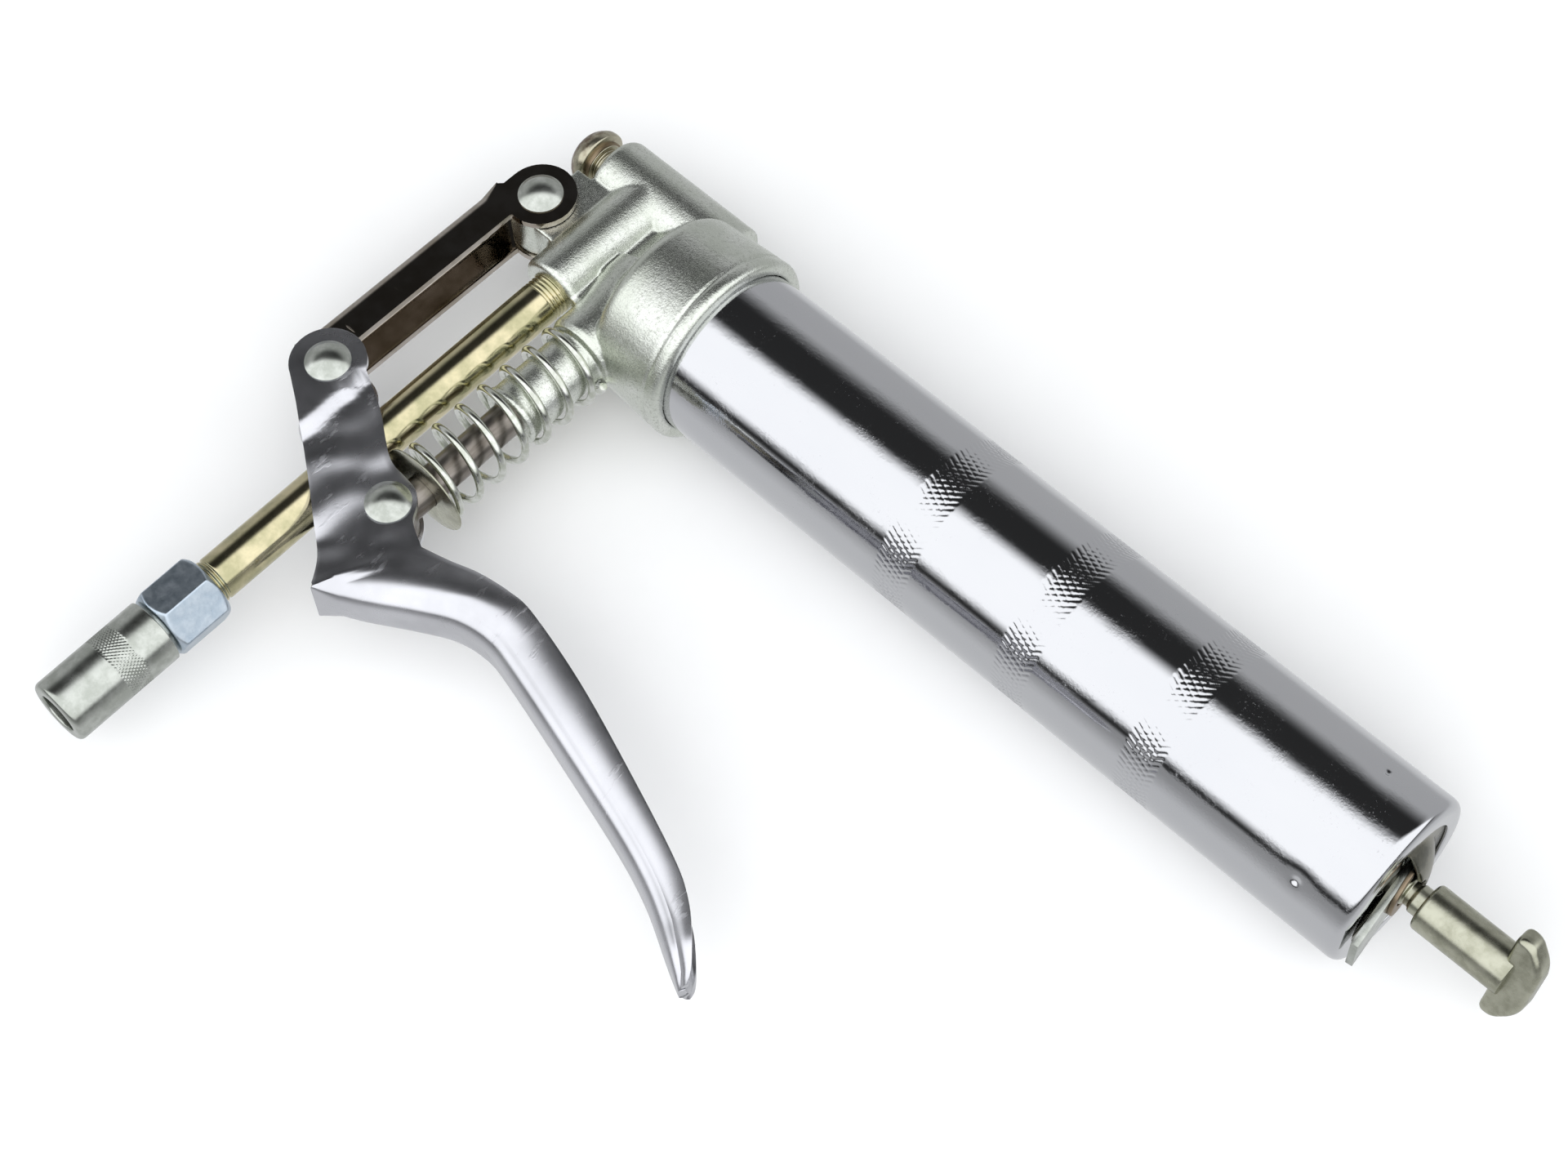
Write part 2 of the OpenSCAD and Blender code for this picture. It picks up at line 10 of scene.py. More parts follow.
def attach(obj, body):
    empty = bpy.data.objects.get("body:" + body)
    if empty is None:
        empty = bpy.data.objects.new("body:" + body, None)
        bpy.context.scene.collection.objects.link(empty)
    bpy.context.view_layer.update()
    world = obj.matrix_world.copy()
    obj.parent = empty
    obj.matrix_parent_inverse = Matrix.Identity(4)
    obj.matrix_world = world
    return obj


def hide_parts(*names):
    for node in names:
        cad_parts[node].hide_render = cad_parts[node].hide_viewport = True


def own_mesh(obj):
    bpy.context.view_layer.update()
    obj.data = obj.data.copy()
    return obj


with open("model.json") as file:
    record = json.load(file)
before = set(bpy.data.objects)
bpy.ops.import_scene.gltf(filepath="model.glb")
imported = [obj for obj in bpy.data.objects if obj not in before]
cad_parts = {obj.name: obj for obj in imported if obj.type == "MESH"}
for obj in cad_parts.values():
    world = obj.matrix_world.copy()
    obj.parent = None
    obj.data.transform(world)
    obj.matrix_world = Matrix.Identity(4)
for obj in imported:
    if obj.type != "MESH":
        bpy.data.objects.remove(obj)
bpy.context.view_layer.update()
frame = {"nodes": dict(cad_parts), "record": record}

# ---- Stage: floor, soft studio light and camera ----
# A white floor under the gun, one big soft box on the camera's side of the room, and the rest of the
# room darker. That contrast is what gives chromed tubes their black and white bands.
MM = 0.001
# where the axes of barrel and outlet pipe cross, in the scene's millimetres: all points count from there
TO_ROW = np.array((-109.27, 62.2, 22.0))


class Value:
    """A number or colour on its way through a material. Arithmetic on it adds the nodes that do it."""

    def __init__(self, finish, socket):
        self.finish = finish
        self.socket = socket

    def _math(self, operation, first, second):
        return self.finish.node("ShaderNodeMath", {"operation": operation}, {0: first, 1: second})

    def __add__(self, other):
        return self._math("ADD", self, other)

    def __radd__(self, other):
        return self._math("ADD", other, self)

    def __sub__(self, other):
        return self._math("SUBTRACT", self, other)

    def __rsub__(self, other):
        return self._math("SUBTRACT", other, self)

    def __mul__(self, other):
        return self._math("MULTIPLY", self, other)

    def __rmul__(self, other):
        return self._math("MULTIPLY", other, self)

    def largest(self, other):
        return self._math("MAXIMUM", self, other)

    def ramp(self, low, high):
        """0 below low, 1 above high and smooth between."""
        inputs = {"Value": self, "From Min": low, "From Max": high}
        return self.finish.node("ShaderNodeMapRange", {"interpolation_type": "SMOOTHSTEP"}, inputs)

    def mix(self, low, high):
        """The colour low where the value is 0, and high where it is 1."""
        inputs = {0: self, 6: low, 7: high}
        return self.finish.node("ShaderNodeMix", {"data_type": "RGBA"}, inputs, output=2)


class Finish:
    """A material, or the world, made of nodes, with one way to add any node."""

    def __init__(self, name, world=False):
        maker = bpy.data.worlds if world else bpy.data.materials
        self.made = maker.new(name)
        self.made.use_nodes = True
        self.tree = self.made.node_tree
        self.tree.nodes.clear()

    def node(self, kind, settings=None, inputs=None, output=0):
        """Any node: its settings first, then numbers, colours or Values for its inputs. Gives an output."""
        added = self.tree.nodes.new(kind)
        for key, value in (settings or {}).items():
            setattr(added, key, value)
        for key, value in (inputs or {}).items():
            if isinstance(value, Value):
                self.tree.links.new(value.socket, added.inputs[key])
            elif added.inputs[key].type == "RGBA":
                added.inputs[key].default_value = (*value, 1.0)
            else:
                added.inputs[key].default_value = value
        return Value(self, added.outputs[output]) if added.outputs else None

    def place(self, stretch=(1, 1, 1)):
        """Position on the piece in metres, stretched by so many times along each axis."""
        where = self.node("ShaderNodeTexCoord", output=3)
        return self.node("ShaderNodeMapping", {}, {"Vector": where, "Scale": stretch})

    def noise(self, per_metre, detail=3.0, rough=0.55, stretch=(1, 1, 1)):
        """Cloudy noise from 0 to 1, with so many clouds in a metre."""
        inputs = {"Vector": self.place(stretch), "Scale": per_metre, "Detail": detail, "Roughness": rough}
        return self.node("ShaderNodeTexNoise", {}, inputs)

    def axis(self, index):
        """The piece's x, y or z in metres."""
        where = self.node("ShaderNodeTexCoord", output=3)
        return self.node("ShaderNodeSeparateXYZ", {}, {0: where}, output=index)

    def bump(self, height, depth, strength):
        """Relief of the height, depth metres deep where it is 1."""
        return self.node("ShaderNodeBump", {}, {"Height": height, "Distance": depth, "Strength": strength})

    def metal(self, colour, rough, normal=None, metallic=1.0):
        """The finished material: bare metal, or paper and rubber with metallic at 0."""
        inputs = {"Base Color": colour, "Roughness": rough, "Metallic": metallic}
        if normal is not None:
            inputs["Normal"] = normal
        shader = self.node("ShaderNodeBsdfPrincipled", {}, inputs)
        self.node("ShaderNodeOutputMaterial", {}, {"Surface": shader})
        return self.made


def build(name, points, faces, smooth_below=40.0):
    """A mesh object in the scene: place = (point + TO_ROW) * MM. Doubles are merged, faces turned
    outwards, and edges sharper than smooth_below degrees stay creased under smooth shading."""
    mesh = bpy.data.meshes.new(name)
    mesh.from_pydata(((np.asarray(points) + TO_ROW) * MM).tolist(), [], [tuple(f) for f in faces])
    made = bpy.data.objects.new(name, mesh)
    bpy.context.scene.collection.objects.link(made)
    work = bmesh.new()
    work.from_mesh(mesh)
    bmesh.ops.remove_doubles(work, verts=work.verts, dist=2e-6)
    bmesh.ops.dissolve_degenerate(work, edges=work.edges, dist=1e-7)
    bmesh.ops.recalc_face_normals(work, faces=work.faces)
    work.to_mesh(mesh)
    work.free()
    mesh.shade_smooth()
    mesh.set_sharp_from_angle(angle=math.radians(smooth_below))
    return made


FLOOR_REACH = 9000.0
corners = np.array([[-1, -1, 0], [1, -1, 0], [1, 1, 0], [-1, 1, 0]]) * FLOOR_REACH
floor = build("floor", corners - TO_ROW, [(0, 1, 2, 3)])
paper = Finish("paper")
white = paper.noise(60.0, 2.0).mix((0.90, 0.90, 0.90), (0.93, 0.93, 0.93))
floor.data.materials.append(paper.metal(white, 0.9, metallic=0.0))
floor.visible_glossy = False

room = Finish("room", world=True)
direction = room.node("ShaderNodeTexCoord", output=0)
east = room.node("ShaderNodeSeparateXYZ", {}, {0: direction}, output=0)
north = room.node("ShaderNodeSeparateXYZ", {}, {0: direction}, output=1)
up = room.node("ShaderNodeSeparateXYZ", {}, {0: direction}, output=2)
# how far a direction points to the side of the room that the camera doesn't stand on
behind = (north - east) * 0.7071
soft_box = (0.22 - behind).ramp(-0.12, 0.10) * up.ramp(0.06, 0.30)
far_wall = behind.ramp(0.05, 0.3) * (0.62 - up).ramp(-0.12, 0.24)
ground = (0.04 - up).ramp(0.0, 0.10) * 0.36 + (-0.1 - up).ramp(0.0, 0.5) * 0.34
level = soft_box * 1.5 + (far_wall * 0.5).largest(ground) + 0.03
sky = room.node("ShaderNodeBackground", {}, {"Color": (0.97, 0.985, 1.0), "Strength": level})
room.node("ShaderNodeOutputWorld", {}, {"Surface": sky})
bpy.context.scene.world = room.made

lamp_data = bpy.data.lights.new("overhead_box", "AREA")
lamp_data.shape = "RECTANGLE"
LAMP_SIDE = 1.3
lamp_data.size = LAMP_SIDE
lamp_data.size_y = LAMP_SIDE
lamp_data.energy = 12.0
lamp = bpy.data.objects.new("overhead_box", lamp_data)
bpy.context.scene.collection.objects.link(lamp)
lamp.visible_glossy = False
lamp.location = (0.75, -0.85, 1.35)
lamp.rotation_mode = "QUATERNION"
lamp.rotation_quaternion = lamp.location.to_track_quat("Z", "Y")

bpy.context.scene.view_settings.view_transform = "Standard"

AZIMUTH = math.radians(46.96)
ELEVATION = math.radians(60.67)
ROLL = math.radians(-3.63)
AIM = np.array((84.64, -32.41, 0.0))
DISTANCE = 0.64003
level_reach = math.cos(ELEVATION)
back = Vector((math.sin(AZIMUTH) * level_reach, -math.cos(AZIMUTH) * level_reach, math.sin(ELEVATION)))
right = Vector((math.cos(AZIMUTH), math.sin(AZIMUTH), 0.0))
top = back.cross(right)
side = right * math.cos(ROLL) + top * math.sin(ROLL)
upright = top * math.cos(ROLL) - right * math.sin(ROLL)
camera_data = bpy.data.cameras.new("camera")
camera_data.sensor_width = 36.0
camera_data.lens = 74.26
camera = bpy.data.objects.new("camera", camera_data)
bpy.context.scene.collection.objects.link(camera)
place = Vector((AIM + TO_ROW) * MM) + back * DISTANCE
camera.matrix_world = Matrix((
    (side.x, upright.x, back.x, place.x),
    (side.y, upright.y, back.y, place.y),
    (side.z, upright.z, back.z, place.z),
    (0, 0, 0, 1),
))
bpy.context.scene.camera = camera

# ---- Barrel ----
# A chromed steel tube, rolled in at the open end, with three knurled bands pressed in between two
# wheels and four dimples that hold the spring's seat. It screws into the pump head.


def sheet_of(points, close_u=False, close_v=False):
    """Points and four-sided faces of a grid points[u, v], joined end to end where it closes."""
    rows, columns = points.shape[:2]
    number = np.arange(rows * columns).reshape(rows, columns)
    if close_u:
        number = np.vstack((number, number[:1]))
    if close_v:
        number = np.hstack((number, number[:, :1]))
    faces = np.stack((number[:-1, :-1], number[1:, :-1], number[1:, 1:], number[:-1, 1:]), -1)
    return points.reshape(-1, 3), faces.reshape(-1, 4)


def turned(radius, along, segments, axis="x", centre=(0, 0, 0)):
    """A turned surface: at distance along the axis the radius may vary with the angle.
    Point = centre + along * axis + radius * (cos, sin) of the angle. Radius is [along] or [along, angle]."""
    angle = np.arange(segments) * 2 * np.pi / segments
    radius = np.asarray(radius, float)
    if radius.ndim == 1:
        radius = np.repeat(radius[:, None], segments, 1)
    along = np.repeat(np.asarray(along, float)[:, None], segments, 1)
    first = radius * np.cos(angle)
    second = radius * np.sin(angle)
    stack = (along, first, second) if axis == "x" else (first, along, second)
    return sheet_of(np.stack(stack, -1) + np.array(centre, float), close_v=True)


def rounded(corners, steps=6):
    """A line through corners (x, y, reach), a corner with no reach kept sharp. The others become the curve
    (1 - t)^2 * start + 2 t (1 - t) * corner + t^2 * end, which starts and ends reach away from them."""
    line = []
    share = np.linspace(0, 1, steps + 1)[:, None]
    for before, here, after in zip(corners[:-2], corners[1:-1], corners[2:]):
        point = np.array(here[:2], float)
        into = np.array(before[:2]) - point
        out = np.array(after[:2]) - point
        reach = min(here[2] if len(here) > 2 else 0, 0.49 * np.hypot(*into), 0.49 * np.hypot(*out))
        if reach <= 0:
            line.append(point[None])
            continue
        start = point + into / np.hypot(*into) * reach
        end = point + out / np.hypot(*out) * reach
        line.append((1 - share) ** 2 * start + 2 * share * (1 - share) * point + share**2 * end)
    ends = [np.array([corners[0][:2]], float), *line, np.array([corners[-1][:2]], float)]
    return np.vstack(ends)


def smooth(x, low, high):
    """0 below low, 1 above high and t^2 (3 - 2 t) between."""
    t = np.clip((x - low) / (high - low), 0, 1)
    return t * t * (3 - 2 * t)


def finished(made, body, slot, *nodes, own=None):
    """A piece takes its own finish or else its slot's, rides on its body and stands for the CAD nodes."""
    made.data.materials.clear()
    made.data.materials.append(own or SLOTS[slot])
    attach(made, body)
    if nodes:
        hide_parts(*nodes)
    return made


def knurl(along, around, start, width, pitch, lead_a, lead_b, ragged):
    """Depth of two crossed families of pressed lines in a band: exp(-(away / 0.17)^2), where away is the
    distance to the nearest line, and lines lie where (around + lead * along) / pitch is a whole number.
    ragged is how far each family stops short of the other's end."""
    def family(lead, low, high):
        phase = (around + lead * along) / pitch
        away = np.abs(phase - np.round(phase)) * pitch
        window = smooth(along, low, low + 0.5) * (1 - smooth(along, high - 0.5, high))
        return np.exp(-((away / 0.17) ** 2)) * window

    first = family(lead_a, start + ragged, start + width)
    second = family(-lead_b, start, start + width - ragged)
    return np.maximum(first, second)


SLOTS = {}
finish = Finish("chrome_barrel")
smear = finish.noise(45.0, 4.0, 0.6, (0.5, 1.0, 1.0))
pits = finish.noise(1900.0, 3.0, 0.6)
clumps = finish.noise(190.0, 3.0, 0.6, (0.6, 1.0, 1.0)).ramp(0.42, 0.62)
tint = smear.mix((0.58, 0.585, 0.61), (0.64, 0.64, 0.655))
rough = smear * 0.06 + 0.05 + clumps * pits.ramp(0.6, 0.7) * 0.25
SLOTS["chrome_barrel"] = finish.metal(tint, rough, finish.bump(pits * clumps, 0.000035, 0.5))
BARREL_R = 19.0
BORE_R = 18.2
MOUTH_R = 14.0
BAND_STARTS = (95.8, 127.3, 158.8)
BAND_WIDTH = 8.6
AROUND = 480
DIMPLE_X = 200.5
DIMPLE_ANGLES = np.radians([61.5, 151.5, 241.5, 331.5])
along = [np.linspace(26, 93, 12), np.linspace(107, 125, 4), np.linspace(138.5, 156.5, 4)]
along += [np.linspace(170, 195, 5), np.linspace(197, 204, 22)]
along += [np.linspace(b - 1.5, b + 10.0, 47) for b in BAND_STARTS]
along = np.sort(np.concatenate(along))
shoulder = rounded([(206, BARREL_R), (213.3, BARREL_R, 4.6), (213.3, MOUTH_R, 0.35),
                    (212.5, MOUTH_R, 0.35), (212.5, 17.5, 3.0), (208, BORE_R, 0.5), (190, BORE_R)], 9)
around = np.arange(AROUND) * 2 * np.pi / AROUND
grid_x, grid_a = np.meshgrid(along, around, indexing="ij")
pitch = 2 * np.pi * BARREL_R / 84
depth = sum(knurl(grid_x, grid_a * BARREL_R, b, BAND_WIDTH, pitch, 0.72, 0.45, 1.6) for b in BAND_STARTS)
pressed_band = sum(smooth(grid_x, b, b + 1.5) * (1 - smooth(grid_x, b + 7.2, b + 8.7)) for b in BAND_STARTS)
dent = np.zeros_like(depth)
for centre in DIMPLE_ANGLES:
    turn = (grid_a - centre + np.pi) % (2 * np.pi) - np.pi
    away = np.hypot(grid_x - DIMPLE_X, turn * BARREL_R)
    dent += 0.42 * np.exp(-((away / 0.8) ** 2)) + 0.16 * np.exp(-((away / 3.4) ** 2))
wall = BARREL_R - 0.12 * depth - 0.05 * pressed_band - dent
end_radius = np.repeat(shoulder[:, 1:2], AROUND, 1)
points, faces = turned(np.vstack((wall, end_radius)), np.concatenate((along, shoulder[:, 0])), AROUND)
barrel = build("barrel", points, faces, 60)
finished(barrel, "barrel", "chrome_barrel", "barrel_tube")

# ---- Pump head ----
# One zinc die casting: the collar that takes the barrel, the boss of the outlet pipe, the plunger's
# boss, the valve boss and the pivot lug, with soft fillets where they meet.


def baked(made):
    """The object's modifiers become its mesh."""
    bpy.context.view_layer.update()
    evaluated = made.evaluated_get(bpy.context.evaluated_depsgraph_get())
    mesh = bpy.data.meshes.new_from_object(evaluated)
    made.modifiers.clear()
    made.data = mesh
    return made


def gun_points(mesh):
    """A mesh's points in millimetres from the gun's origin: place / MM - TO_ROW."""
    return np.array([v.co for v in mesh.vertices]) / MM - TO_ROW


def from_cad(name, node):
    """A new object with the mesh of a CAD node."""
    source = frame["nodes"][node].data
    return build(name, gun_points(source), [tuple(p.vertices) for p in source.polygons])


def joined(name, made, *solids):
    """Further closed solids, each (points, faces), added to an object's mesh."""
    points = [gun_points(made.data)]
    faces = [tuple(p.vertices) for p in made.data.polygons]
    count = len(points[0])
    for extra_points, extra_faces in solids:
        points.append(extra_points)
        faces += [tuple(int(i) + count for i in f) for f in extra_faces]
        count += len(extra_points)
    bpy.data.objects.remove(made)
    return build(name, np.vstack(points), faces)


def cast(made, cell, passes):
    """Skinned afresh on a grid of that cell in millimetres, then eased so that corners become fillets."""
    skin = made.modifiers.new("skin", "REMESH")
    skin.mode = "VOXEL"
    skin.voxel_size = cell * MM
    ease = made.modifiers.new("ease", "SMOOTH")
    ease.factor = 0.5
    ease.iterations = passes
    baked(made)
    made.data.shade_smooth()
    return made


finish = Finish("casting")
grain = finish.noise(2300.0, 3.0, 0.7)
blotch = finish.noise(110.0, 3.0, 0.6)
speck = finish.noise(1300.0, 4.0, 0.75).ramp(0.5, 0.66)
tint = blotch.ramp(0.35, 0.7).mix((0.66, 0.69, 0.62), (0.78, 0.80, 0.75))
tint = (speck * (blotch.ramp(0.3, 0.6) * 0.45 + 0.1)).mix(tint, (0.30, 0.31, 0.27))
SLOTS["casting"] = finish.metal(tint, grain * 0.12 + 0.2, finish.bump(grain, 0.0001, 0.8))
PLUNGER_X = 15.6
BOSS_END = -21.6
head = from_cad("head", "head_casting")
# the plunger's boss widens towards the barrel
cone = rounded([(0, BOSS_END), (8.2, BOSS_END, 0.5), (8.3, -16), (9.2, -10, 3), (10.5, -4), (10.5, 0),
                (0, 0)])
neck = turned(cone[:, 0], cone[:, 1], 64, "y", (PLUNGER_X, 0, 0))
# the nape is the saddle that runs from the collar down to the bosses, the same above and below
NAPE_ROWS = 24
NAPE_COLUMNS = 40
nape_x = np.linspace(3, 18.8, NAPE_ROWS)
nape_y = np.linspace(-14.5, 16, NAPE_COLUMNS)
nape_x, nape_y = np.meshgrid(nape_x, nape_y, indexing="ij")
crest = np.sqrt(18.9**2 - nape_y**2) * (1 - 0.3 * smooth(-nape_y, 5.0, 15.0))
nape_z = 4.0 + (crest - 4.0) * smooth(nape_x, 6.0, 25.0) * 1.28
nape_z = np.minimum(nape_z, crest - 0.4)
nape_top = np.stack((nape_x, nape_y, nape_z), -1)
nape = sheet_of(np.concatenate((nape_top, (nape_top * (1, 1, -1))[::-1])), close_u=True)
rim = [[r * NAPE_COLUMNS + c for r in range(2 * NAPE_ROWS)] for c in (0, NAPE_COLUMNS - 1)]
nape = (nape[0], [tuple(f) for f in nape[1]] + [tuple(rim[0]), tuple(rim[1][::-1])])
head = joined("head", head, neck, nape)
cast(head, 0.36, 5)
# a fine groove runs round the collar near its open end
GROOVE_X = 34.4
GROOVE_DEPTH = 0.3
skin_points = gun_points(head.data)
reach = np.hypot(skin_points[:, 1], skin_points[:, 2])
groove = np.exp(-(((skin_points[:, 0] - GROOVE_X) / 0.35) ** 2)) * smooth(reach, 19.9, 20.4)
skin_points[:, 1:] *= (1 - GROOVE_DEPTH * groove / np.maximum(reach, 1))[:, None]
head.data.vertices.foreach_set("co", ((skin_points + TO_ROW) * MM).astype(np.float32).ravel())
finished(head, "head", "casting", "head_casting")

# ---- Outlet pipe, coupler body and sleeve ----
# A yellow zinc plated steel pipe with a thread at each end, screwed into the head. The hexagon body
# and the sleeve are turned steel, the sleeve with a knurled grip band.


def thread(y, low, high):
    """1 where the thread is cut, from low to high, and 0 elsewhere, fading over 0.4 mm."""
    return smooth(y, low, low + 0.4) * (1 - smooth(y, high - 0.4, high))


finish = Finish("yellow_zinc")
stain = finish.noise(150.0, 4.0, 0.6)
tint = stain.ramp(0.3, 0.7).mix((0.68, 0.61, 0.40), (0.42, 0.40, 0.24))
rub = finish.noise(500.0, 3.0, 0.6, (1, 0.15, 1))
SLOTS["yellow_zinc"] = finish.metal(tint, rub * 0.12 + 0.09, finish.bump(rub, 0.00003, 0.4))
PIPE_R = 4.9
PIPE_BORE_R = 1.9
THREAD_PITCH = 0.95
pipe_y = [np.linspace(-118, -111, 6), np.linspace(-110.8, -107.2, 40), np.linspace(-105, -20, 12)]
pipe_y = np.concatenate((*pipe_y, np.linspace(-18.6, -14.0, 50), np.linspace(-13, -3, 3)))
cut = thread(pipe_y, -110.6, -107.6) + thread(pipe_y, -18.2, -14.2)
pipe_r = PIPE_R - cut * (0.16 + 0.14 * np.cos(pipe_y * 2 * np.pi / THREAD_PITCH))
pipe_r = np.concatenate(([PIPE_BORE_R], pipe_r, [PIPE_BORE_R]))
pipe_line = np.concatenate((pipe_y[:1], pipe_y, pipe_y[-1:]))
points, faces = turned(pipe_r, pipe_line, 96, "y")
pipe = build("pipe", points, faces, 60)
finished(pipe, "head", "yellow_zinc", "outlet_pipe")

finish = Finish("blue_zinc")
stain = finish.noise(420.0, 4.0, 0.65)
tint = stain.ramp(0.3, 0.75).mix((0.42, 0.50, 0.58), (0.60, 0.67, 0.74))
SLOTS["blue_zinc"] = finish.metal(tint, stain * 0.22 + 0.2, finish.bump(stain, 0.00007, 0.5))
HEX_AROUND = 240
HEX_FLAT = 7.0
HEX_TURN = math.radians(8)
HEX_LOW = -123.0
HEX_HIGH = -110.0
hex_y = [np.linspace(HEX_LOW, -121, 12), np.linspace(-120.5, -112.5, 5), np.linspace(-112, HEX_HIGH, 12)]
hex_y = np.concatenate(hex_y)
turn = np.arange(HEX_AROUND) * 2 * np.pi / HEX_AROUND
flat = HEX_FLAT / np.cos((turn - HEX_TURN) % (math.pi / 3) - math.pi / 6)
from_end = np.minimum(hex_y - HEX_LOW, HEX_HIGH - hex_y)
chamfer = 6.75 + from_end * 1.15
# the smaller of the flats' and the chamfer's radius, with the corner between them eased
SHARPNESS = 7.0
blend_r = -np.log(np.exp(-SHARPNESS * flat[None]) + np.exp(-SHARPNESS * chamfer[:, None])) / SHARPNESS
bore = np.full((1, HEX_AROUND), PIPE_R + 0.05)
hex_r = np.vstack((np.full((1, HEX_AROUND), PIPE_R), blend_r - 0.05, bore, bore))
hex_line = np.concatenate(([HEX_LOW], hex_y, [HEX_HIGH, HEX_HIGH - 3]))
points, faces = turned(hex_r, hex_line, HEX_AROUND, "y")
hexagon = build("hexagon", points, faces, 50)
finished(hexagon, "head", "blue_zinc", "coupler_body")

finish = Finish("zinc_steel")
stain = finish.noise(300.0, 4.0, 0.6)
tint = stain.ramp(0.35, 0.7).mix((0.42, 0.44, 0.40), (0.58, 0.60, 0.56))
SLOTS["zinc_steel"] = finish.metal(tint, stain * 0.16 + 0.16, finish.bump(stain, 0.00003, 0.3))
# the short spigot joins the hexagon to the sleeve
spigot = rounded([(0, -128.5), (5.0, -128.5, 0.4), (5.0, -122.9)])
points, faces = turned(spigot[:, 0], spigot[:, 1], 48, "y")
spigot = build("spigot", points, faces)
finished(spigot, "head", "zinc_steel")

SLEEVE_R = 7.1
SLEEVE_AROUND = 320
sleeve_y = [np.linspace(-123.8, -130, 5), np.linspace(-130.2, -136.6, 46), np.linspace(-137, -146, 4)]
sleeve_y = np.concatenate(sleeve_y)
sleeve_a = np.arange(SLEEVE_AROUND) * 2 * np.pi / SLEEVE_AROUND
grid_y, grid_a = np.meshgrid(sleeve_y, sleeve_a, indexing="ij")
depth = knurl(-grid_y, grid_a * SLEEVE_R, 130.5, 5.8, 2 * np.pi * SLEEVE_R / 56, 0.75, 0.75, 0.0)
front = rounded([(-146.5, SLEEVE_R), (-149.2, SLEEVE_R, 1.5), (-149.2, 4.4, 0.5), (-146.2, 4.4, 0.2),
                 (-146.2, 5.55), (-128.5, 5.55)])
back_end = rounded([(-125, 5.0), (-123.8, 5.0, 0.2), (-123.8, SLEEVE_R, 0.6), (-124.4, SLEEVE_R)])
wall = SLEEVE_R - 0.16 * depth
rows = [np.repeat(back_end[:, 1:], SLEEVE_AROUND, 1), wall[1:], np.repeat(front[:, 1:], SLEEVE_AROUND, 1)]
line = np.concatenate((back_end[:, 0], sleeve_y[1:], front[:, 0]))
points, faces = turned(np.vstack(rows), line, SLEEVE_AROUND, "y")
sleeve = build("sleeve", points, faces, 50)
finished(sleeve, "head", "zinc_steel", "coupler_sleeve")

# ---- Springs ----
# Coiled from zinc plated wire. The return spring sits over the plunger's boss with its end turns
# closed. The long one behind the piston and the small one behind the check ball are hidden inside.


def tube(path, radius, coil_axis, sides=14):
    """A round wire along a path: ring = path + radius * (cos * across + sin * other), where across and other
    are square to the path and across is also square to the coil's axis. Its ends are a little longer."""
    ahead = np.gradient(path, axis=0)
    ahead /= np.linalg.norm(ahead, axis=1)[:, None]
    across = np.cross(ahead, np.array(coil_axis, float))
    across /= np.linalg.norm(across, axis=1)[:, None]
    other = np.cross(ahead, across)
    angle = np.arange(sides) * 2 * np.pi / sides
    rings = np.cos(angle)[None, :, None] * across[:, None] + np.sin(angle)[None, :, None] * other[:, None]
    first = path[:1] - ahead[:1] * radius * 0.3
    last = path[-1:] + ahead[-1:] * radius * 0.3
    body = path[:, None] + rings * radius
    start = np.repeat(first[:, None], sides, 1)
    end = np.repeat(last[:, None], sides, 1)
    return sheet_of(np.concatenate((start, body, end)), close_v=True)


def coil(radius, wire, low, high, turns, closed, start, steps):
    """A helix's height and its radius * (cos, sin) of start + 2 pi * turn. The height gains one wire a turn
    in the closed turns at each end and an even amount in the free turns between, from low to high."""
    turn = np.linspace(0, turns, int(turns * steps) + 1)
    shut = wire * 1.02
    free = (high - low - 2 * closed * shut) / (turns - 2 * closed)
    opening = smooth(turn, closed - 0.3, closed + 0.3)
    closing = smooth(turn, turns - closed - 0.3, turns - closed + 0.3)
    rate = shut + (free - shut) * opening * (1 - closing)
    height = np.concatenate(([0], np.cumsum((rate[1:] + rate[:-1]) / 2 * np.diff(turn))))
    height = low + height / height[-1] * (high - low)
    angle = start + turn * 2 * np.pi
    return height, radius * np.cos(angle), radius * np.sin(angle)


finish = Finish("spring_steel")
stain = finish.noise(500.0, 3.0)
tint = stain.ramp(0.35, 0.7).mix((0.55, 0.57, 0.50), (0.72, 0.73, 0.69))
SLOTS["spring_steel"] = finish.metal(tint, stain * 0.1 + 0.12)
VALVE_Y = 16.5
height, out, up_z = coil(8.1, 1.7, -64.0, -22.5, 7.4, 0.6, math.radians(200), 48)
points, faces = tube(np.stack((PLUNGER_X + out, height, up_z), -1), 0.85, (0, 1, 0))
return_coil = build("return_coil", points, faces, 60)
finished(return_coil, "head", "spring_steel", "return_spring")
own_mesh(return_coil)

height, out, up_z = coil(14.2, 1.6, 35.4, 200.6, 21.0, 1.0, 0.0, 36)
points, faces = tube(np.stack((height, out, up_z), -1), 0.8, (1, 0, 0), 10)
follower_coil = build("follower_coil", points, faces, 60)
finished(follower_coil, "barrel", "spring_steel", "follower_spring")
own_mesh(follower_coil)

height, out, up_z = coil(1.7, 0.6, -8.1, 1.8, 7.0, 1.0, 0.0, 28)
points, faces = tube(np.stack((height, VALVE_Y + out, up_z), -1), 0.3, (1, 0, 0), 10)
check_coil = build("check_coil", points, faces, 60)
finished(check_coil, "head", "spring_steel", "check_spring")
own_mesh(check_coil)

